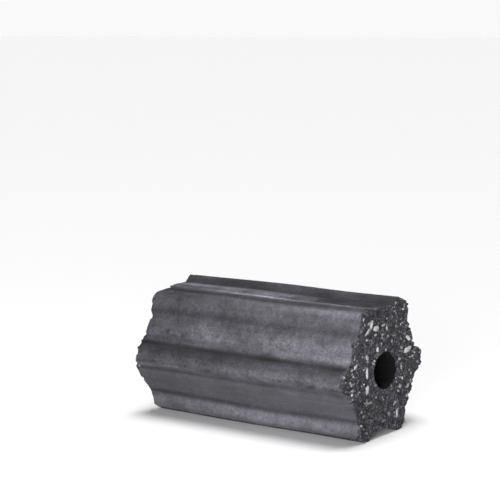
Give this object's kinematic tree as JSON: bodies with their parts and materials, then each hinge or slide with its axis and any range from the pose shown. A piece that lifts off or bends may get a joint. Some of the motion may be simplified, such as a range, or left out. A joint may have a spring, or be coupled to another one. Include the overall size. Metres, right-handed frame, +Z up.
{
  "type": "charcoal briquette",
  "caption": "Hexagonal charcoal briquette: a pressed log with a rib on each corner, flat walls, a round flue from end to end and rough broken ends.",
  "frame": {"origin": "middle of the box's underside, on the surface that the log lies on", "axes": "+X along the log, towards the end with the shallower break; +Z up; the log lies on two ribs"},
  "size_m": [0.0888, 0.0506, 0.0454],
  "materials": {
    "charcoal": "matte"
  },
  "bodies": {
    "root": {"briquette": "charcoal"}
  },
  "joints": []
}
